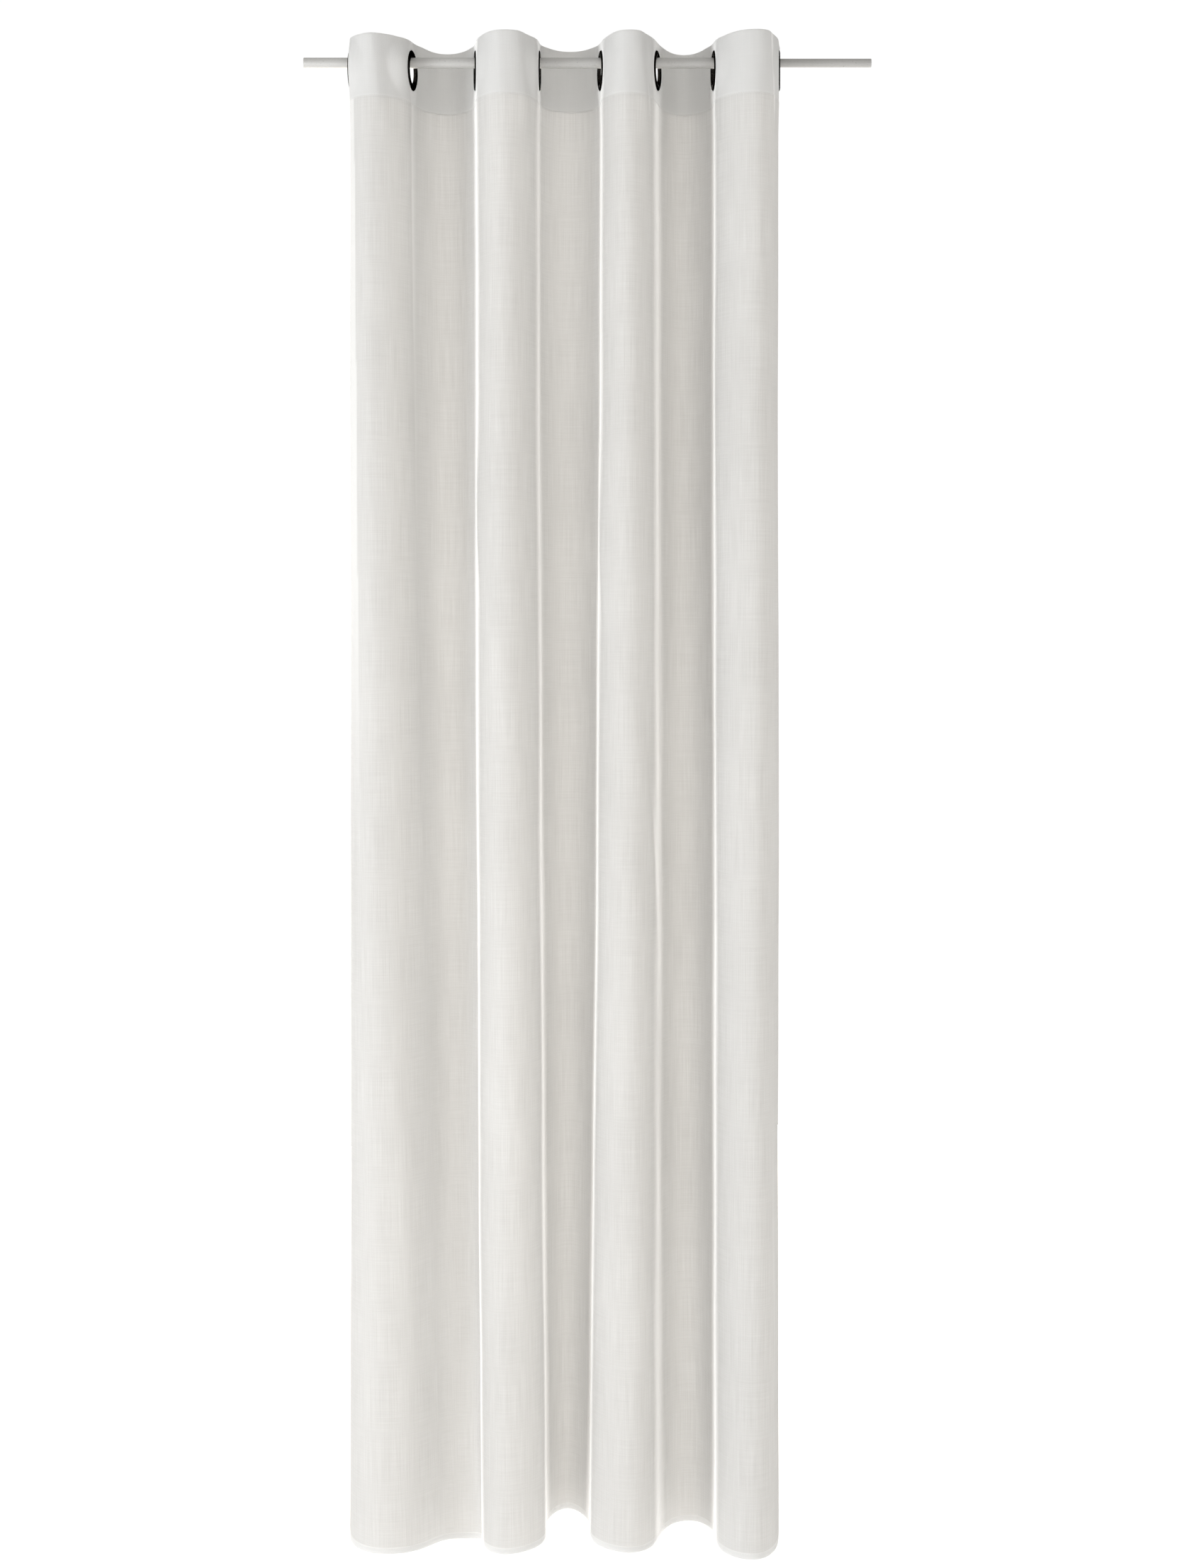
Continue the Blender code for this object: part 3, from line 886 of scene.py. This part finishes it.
# %% Grid, and openings for the eyelets
CLOTH_HOLE = 0.0245  # radius, between the barrel and the rim of the flange


def lay_flat(work, flat):
    """Give every vertex its place on the flat cloth, as a UV in metres."""
    uv = work.loops.layers.uv["flat_cloth"]
    for face in work.faces:
        for loop in face.loops:
            loop[uv].uv = flat[loop.vert]


def grid_of(rows, columns):
    """A flat bmesh grid, with each vertex's row and column."""
    work = bmesh.new()
    work.loops.layers.uv.new("flat_cloth")
    work.verts.layers.float.new("doubled")
    # a layer for the painted shade on the outer faces of the end folds
    work.verts.layers.float.new("painted_end_shade")
    bmesh.ops.create_grid(work, x_segments=columns - 1, y_segments=rows - 1, size=0.5)
    index = {}
    for vert in work.verts:
        column = round((vert.co.x + 0.5) * (columns - 1))
        row = round((vert.co.y + 0.5) * (rows - 1))
        index[vert] = (row, column)
    return work, index


def open_for_eyelet(work, index, first_column, number):
    """Take the cloth out of an eyelet's hole and draw the rim onto a circle."""
    centre = EYELETS[number]
    direction = eyelet_way(number)
    away = {}
    for vert, (row, column) in index.items():
        if not vert.is_valid or ROWS[row][0] < SEAM:
            continue
        place = PLACES[row, first_column + column][:2]
        aside = float((place - np.array((centre.x, 0.0))) @ direction)
        rise = ROWS[row][0] - centre.z
        away[vert] = (aside, rise, math.hypot(aside, rise))
    inside = {vert for vert, value in away.items() if value[2] < CLOTH_HOLE}
    gone = [face for face in work.faces if all(vert in inside for vert in face.verts)]
    bmesh.ops.delete(work, geom=gone, context="FACES_ONLY")
    loose = [vert for vert in work.verts if not vert.link_faces]
    bmesh.ops.delete(work, geom=loose, context="VERTS")
    for vert in inside:
        if vert.is_valid and vert.link_faces:
            aside, rise, distance = away[vert]
            grow = CLOTH_HOLE / max(distance, 1e-6) - 1
            vert.co.x += direction[0] * aside * grow
            vert.co.y += direction[1] * aside * grow
            vert.co.z += rise * grow


print("holes in the cloth", 2 * CLOTH_HOLE, "m across")

# %% Finish a piece, and bend it across its crest


def finished_piece(work, name, look, thickness=0.0):
    """A smooth-shaded object from a bmesh, made solid if it has a thickness."""
    if thickness > 0:
        # cut edges stay crisp, so that the shading runs on unbroken from one span to the next
        for edge in work.edges:
            edge.smooth = not edge.is_boundary
    mesh = bpy.data.meshes.new(name)
    work.to_mesh(mesh)
    work.free()
    for polygon in mesh.polygons:
        polygon.use_smooth = True
    mesh.materials.append(look)
    obj = placed(name, mesh)
    if thickness > 0:
        solid = obj.modifiers.new("thickness", "SOLIDIFY")
        solid.thickness = thickness
        solid.offset = 0.0
    return obj


def across_crest(obj, number):
    """Bend a piece between the two walls of a fold, and hold it still at both eyelet lines."""
    start = max(PLACES[:, line_column(number), 0])
    end = min(PLACES[:, line_column(number + 1), 0])
    y = CRESTS[number].y
    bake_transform(obj, f"wall_{number + 1}", f"wall_{number + 2}",
             start=(start, y, FIRST.z), end=(end, y, FIRST.z))


def crest_piece(work, name, look, number, thickness=0.0):
    """Finish a piece of cloth or thread that bends across a crest."""
    bmesh.ops.recalc_face_normals(work, faces=work.faces)
    obj = finished_piece(work, name, look, thickness)
    across_crest(obj, number)
    return obj


# %% Cut the spans
CLOTH_KINDS = ("curtain_cloth", "heading_band", "bottom_hem", "heading_stiffener")


def span_columns(number):
    """First and last column of a span; the end spans take the side edges with them."""
    first = 0 if number == 0 else line_column(number)
    last = COLUMNS - 1 if number == len(CRESTS) - 1 else line_column(number + 1)
    return first, last


def cloth_span(number):
    """One span of the sheet, hem to lining."""
    first, last = span_columns(number)
    work, index = grid_of(len(ROWS), last - first + 1)
    layers = work.verts.layers.float["doubled"]
    end_shade_source = work.verts.layers.float["painted_end_shade"]
    flat = {}
    for vert, (row, column) in index.items():
        vert.co = PLACES[row, first + column]
        vert[layers] = doubled(first + column, row)
        # painted shade on the outer faces of the first and last folds
        vert[end_shade_source] = painted_end_shade(first + column)
        flat[vert] = (flat_place(first + column), ROWS[row][2])
    lay_flat(work, flat)
    open_for_eyelet(work, index, first, number)
    open_for_eyelet(work, index, first, number + 1)
    obj = crest_piece(work, f"cloth_span_{number + 1}", LINEN, number, CLOTH)
    nodes = [f"{kind}_{number + 1}" for kind in CLOTH_KINDS]
    if number == 0:
        nodes.append("side_hem_left")
    if number == len(CRESTS) - 1:
        nodes += [f"{kind}_{number + 2}" for kind in CLOTH_KINDS]
        nodes.append("side_hem_right")
    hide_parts(*nodes)
    return obj


SPAN_NUMBERS = range(len(CRESTS))
SPANS = [cloth_span(number) for number in SPAN_NUMBERS]
print("cloth spans", [obj.name for obj in SPANS])

# %% [markdown]
# ## Sewing
#
# The heading and the hems are held by a lockstitch. From nearby it is a row of small grains of
# thread, each a little sunk at its ends, and a ridge like that can't come from a painted line. One
# grain is a low sphere of 36 triangles, stretched along the seam and laid on the sheet, so that
# even a few thousand of them stay light. The stitches of a span bend with its cloth.

# %% Thread


def thread_finish():
    """Spun thread: fine noise across the strand, and a soft sheen."""
    look, nodes, links, shader = new_finish("sewing_thread")
    place = object_coordinates(nodes)
    strands = stretched_noise(nodes, links, place, (2600, 2600, 900), 2.0)
    links.new(tinted(nodes, links, strands, (0.78, 0.77, 0.75), (0.93, 0.925, 0.91)),
              shader.inputs["Base Color"])
    set_sockets(shader, Roughness=0.62, Sheen_Weight=0.4)
    bumped(nodes, links, strands, 0.0002, 0.4, shader)
    return look


THREAD = thread_finish()
print("finish", THREAD.name)

# %% One stitch
THREAD_WIDTH = 0.00038
STITCH = 0.0034
STITCH_GAP = 0.0004


def sheet_spot(column, row):
    """Place on the sheet at any column and row, and its directions across and up."""
    low_column = min(int(column), COLUMNS - 2)
    low_row = min(int(row), len(ROWS) - 2)
    aside = column - low_column
    above = row - low_row
    corner = PLACES[low_row:low_row + 2, low_column:low_column + 2]
    edge = corner[0] + (corner[1] - corner[0]) * above
    place = edge[0] + (edge[1] - edge[0]) * aside
    across = Vector(edge[1] - edge[0]).normalized()
    up = Vector(corner[1, 0] - corner[0, 0]).normalized()
    return Vector(place), across, up


def thread_grain():
    """A low unit sphere, the shape of every stitch."""
    work = bmesh.new()
    bmesh.ops.create_uvsphere(work, u_segments=6, v_segments=4, radius=1)
    mesh = bpy.data.meshes.new("thread_grain")
    work.to_mesh(mesh)
    work.free()
    return mesh


GRAIN = thread_grain()


def stitch(work, column, row, upright, inner, outer):
    """One grain of thread that reaches from an inner to an outer step off the sheet."""
    place, across, up = sheet_spot(column, row)
    normal = across.cross(up).normalized()
    along, aside = (up, across) if upright else (across, up)
    half = (STITCH - STITCH_GAP) / 2
    place = place + normal * (inner + outer) / 2
    shape = Matrix((along * half, aside * THREAD_WIDTH, normal * (outer - inner) / 2)).transposed()
    grain = GRAIN.copy()
    grain.transform(Matrix.Translation(place) @ shape.to_4x4())
    work.from_mesh(grain)
    bpy.data.meshes.remove(grain)


print("faces of a stitch", len(GRAIN.polygons))

# %% Rows of stitches
SEAM_ALLOWANCE = 0.0022  # from the heading's lower edge to its stitches
HEM_ALLOWANCE = 0.0015  # from the turned edge of a hem to its stitches
ON_FACE = (CLOTH * 0.1, CLOTH / 2 + THREAD_WIDTH)
THROUGH_HEM = (-HEM_STEP - CLOTH / 2 - THREAD_WIDTH / 2, CLOTH / 2 + THREAD_WIDTH / 2)
ROW_FLATS = [flat for _, _, flat in ROWS]
COLUMN_FLATS = [flat_place(column) for column in range(COLUMNS)]


def row_at(height):
    """Row of the front of the sheet at a height above the hem, as a number between rows."""
    return float(np.interp(height, ROW_FLATS, range(len(ROWS))))


def column_at(u):
    """Column of the sheet at a distance from the first eyelet line."""
    return float(np.interp(u, COLUMN_FLATS, range(COLUMNS)))


def seam_across(work, first, last, row, inner, outer):
    """Stitches along a row, from one column to another."""
    length = flat_place(last) - flat_place(first)
    count = round(length / STITCH)
    for number in range(count):
        column = first + (last - first) * (number + 0.5) / count
        stitch(work, column, row, False, inner, outer)


def span_stitches(number):
    """The stitches of one span: both faces of the heading seam, and the bottom hem."""
    first, last = span_columns(number)
    work = bmesh.new()
    front = row_at(SEAM + SEAM_ALLOWANCE - BOTTOM)
    behind = row_at(ROWS[-1][2] - SEAM_ALLOWANCE)
    seam_across(work, first, last, front, *ON_FACE)
    seam_across(work, first, last, behind, *ON_FACE)
    seam_across(work, first, last, row_at(HEM - HEM_ALLOWANCE), *THROUGH_HEM)
    return crest_piece(work, f"stitches_{number + 1}", THREAD, number)


STITCHES = [span_stitches(number) for number in SPAN_NUMBERS]
print("stitches", sum(len(obj.data.polygons) // len(GRAIN.polygons) for obj in STITCHES))

# %% [markdown]
# Each side edge is turned back as well. The turned part is a narrow strip of the same cloth that
# starts at the edge, goes round a small bend and lies behind the sheet. It is swept down the edge
# as a grid whose columns are the steps of that turn, and a row of stitches holds it.

# %% Side hems
TURN_COLUMNS = 5
FLAT_COLUMNS = 6
FIRST_ROW = row_at(HEM + 0.002)  # just above the bottom hem
LAST_ROW = row_at(SEAM - BOTTOM - 0.001)  # just under the heading seam


def side_turn():
    """Steps in from the edge and steps behind it, from the edge to the strip's inner line."""
    steps = []
    for step in range(TURN_COLUMNS):
        angle = math.pi * step / TURN_COLUMNS
        steps.append((-HEM_STEP / 2 * math.sin(angle), HEM_STEP / 2 * (1 - math.cos(angle))))
    for step in range(FLAT_COLUMNS + 1):
        steps.append((SIDE_HEM * step / FLAT_COLUMNS, HEM_STEP))
    return steps


def side_of(side):
    """Span number, flat place of the edge and direction inwards, on the left or right."""
    if side == "left":
        return 0, flat_place(0), 1
    return len(CRESTS) - 1, flat_place(COLUMNS - 1), -1


def turned_strip(side):
    """The turned part of a side edge."""
    number, edge, inwards = side_of(side)
    steps = side_turn()
    work = bmesh.new()
    work.loops.layers.uv.new("flat_cloth")
    layers = work.verts.layers.float.new("doubled")
    bmesh.ops.create_grid(work, x_segments=len(steps) - 1, y_segments=BODY_ROWS - 1, size=0.5)
    flat = {}
    for vert in work.verts:
        aside, behind = steps[round((vert.co.x + 0.5) * (len(steps) - 1))]
        row = FIRST_ROW + (LAST_ROW - FIRST_ROW) * (vert.co.y + 0.5)
        u = edge + inwards * max(aside, 0.0)
        place, across, up = sheet_spot(column_at(u), row)
        normal = across.cross(up).normalized()
        vert.co = place - normal * behind + across * inwards * min(aside, 0.0)
        vert[layers] = IN_HEADING
        flat[vert] = (edge - inwards * aside, place.z - BOTTOM)
    lay_flat(work, flat)
    return crest_piece(work, f"side_hem_{side}_turned", LINEN, number, CLOTH)


def side_stitches(side):
    """The stitches that hold a turned side edge."""
    number, edge, inwards = side_of(side)
    work = bmesh.new()
    count = round((SEAM - BOTTOM - HEM) / STITCH)
    column = column_at(edge + inwards * (SIDE_HEM - HEM_ALLOWANCE))
    for step in range(count):
        row = FIRST_ROW + (LAST_ROW - FIRST_ROW) * (step + 0.5) / count
        stitch(work, column, row, True, *THROUGH_HEM)
    return crest_piece(work, f"side_stitches_{side}", THREAD, number)


SIDE_HEMS = {side: [turned_strip(side), side_stitches(side)] for side in ("left", "right")}
print("side hems", [obj.name for pair in SIDE_HEMS.values() for obj in pair])

# %% [markdown]
# The pieces sewn on each span are gathered into a list: its stitches, and on the two end spans
# the turned side edges and their stitches.

for number, obj in enumerate(SPANS):
    on_it = [STITCHES[number]]
    if number == 0:
        on_it += SIDE_HEMS["left"]
    if number == len(CRESTS) - 1:
        on_it += SIDE_HEMS["right"]

# %% [markdown]
# ## Eyelets
#
# An eyelet is two turned pieces. The front one is a domed flange with a barrel that goes through
# the heading; the back one is a plain domed ring that snaps over the barrel. A turned piece is
# drawn as half a section and spun, so it is round and closed by construction.

# %% Turn one half of an eyelet
HOLE_RADIUS = 0.020
FLANGE_RADIUS = 0.030
FLANGE_BASE = 0.0012
FLANGE_TOP = 0.0031
BARREL_RADIUS = 0.0216
BARREL_END = -0.0019
BACK_HOLE = 0.0219
BACK_TOP = FLANGE_TOP - 0.0004  # the back ring is a little lower
LIP = FLANGE_BASE + (FLANGE_TOP - FLANGE_BASE) * 0.45  # where the dome meets the hole
LIP_DROP = 0.6
HOLE_LIP = 0.0002
BARREL_ROUND = 0.0003
TURN_STEPS = 72
DOME_STEPS = 14


def spun(profile, name, look, place, axis):
    """A closed section spun about an axis through a place."""
    work = bmesh.new()
    verts = [work.verts.new((radius, 0, height)) for radius, height in profile]
    edges = [work.edges.new(pair) for pair in zip(verts, verts[1:] + verts[:1])]
    bmesh.ops.spin(work, geom=verts + edges, cent=(0, 0, 0), axis=(0, 0, 1),
                   angle=2 * math.pi, steps=TURN_STEPS, use_merge=True)
    bmesh.ops.remove_doubles(work, verts=work.verts, dist=1e-6)
    bmesh.ops.recalc_face_normals(work, faces=work.faces)
    turn = Vector((0, 0, 1)).rotation_difference(axis).to_matrix().to_4x4()
    bmesh.ops.transform(work, matrix=Matrix.Translation(place) @ turn, verts=work.verts)
    return finished_piece(work, name, look)


def rounded(inner, outer, base, top):
    """The domed side of a flange, from its outer edge to its inner one."""
    middle = (inner + outer) / 2
    half = (outer - inner) / 2
    points = []
    for step in range(DOME_STEPS + 1):
        angle = math.pi * step / DOME_STEPS
        points.append((middle + half * math.cos(angle), base + (top - base) * math.sin(angle)))
    return points


def eyelet_sections():
    """Half sections of the front half, with its barrel, and of the back ring."""
    # the last two points of the dome give way to the lip of the hole
    face = rounded(HOLE_RADIUS - HOLE_LIP, FLANGE_RADIUS, FLANGE_BASE, FLANGE_TOP)[:-2]
    front = face + [(HOLE_RADIUS, LIP * LIP_DROP), (HOLE_RADIUS, BARREL_END + BARREL_ROUND),
                    (HOLE_RADIUS + BARREL_ROUND, BARREL_END),
                    (BARREL_RADIUS - BARREL_ROUND, BARREL_END),
                    (BARREL_RADIUS, BARREL_END + BARREL_ROUND), (BARREL_RADIUS, FLANGE_BASE)]
    back = [(radius, -height) for radius, height in
            rounded(BACK_HOLE, FLANGE_RADIUS, FLANGE_BASE, BACK_TOP)]
    return {"front": front, "back": back}


def eyelet(number):
    """Both halves of one eyelet, on its wall."""
    made = []
    for side, profile in eyelet_sections().items():
        obj = spun(profile, f"nickel_{side}_{number + 1}", NICKEL, EYELETS[number], AXES[number])
        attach(obj, f"wall_{number + 1}")
        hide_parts(f"eyelet_{side}_{number + 1}")
        made.append(obj)
    return made


RINGS = [eyelet(number) for number in range(EYELET_COUNT)]
print("eyelets", len(RINGS), "of two halves each")

# %% [markdown]
# ## The rod
#
# The two tubes are spun the same way, with their end edges broken by a small round so that they
# catch the light. Their sizes are read from the frame's tubes.

# %% Turn the tubes
END_ROUND = 0.0004
WALL = 0.0012
THIN_WALL = 0.001
SHARP_FROM = math.radians(35)


def rod_tube(node, wall, look):
    """A tube that stands for a frame tube."""
    low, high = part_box(node)
    radius = (high.z - low.z) / 2
    length = high.x - low.x
    round_end = [(radius, END_ROUND), (radius - END_ROUND * 0.3, END_ROUND * 0.3),
                 (radius - END_ROUND, 0), (radius - wall + END_ROUND / 2, 0),
                 (radius - wall, END_ROUND / 2)]
    far_end = [(r, length - height) for r, height in reversed(round_end)]
    obj = spun(round_end + far_end, f"{node}_turned", look, Vector((low.x, 0, 0)),
               Vector((1, 0, 0)))
    obj.data.set_sharp_from_angle(angle=SHARP_FROM)
    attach(obj, "rod_outer" if node == "rod_outer_tube" else "rod_inner")
    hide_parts(node)
    return obj


TUBES = [rod_tube("rod_outer_tube", WALL, LACQUER),
         rod_tube("rod_inner_tube", THIN_WALL, THIN_LACQUER)]
print("tubes", [obj.name for obj in TUBES])
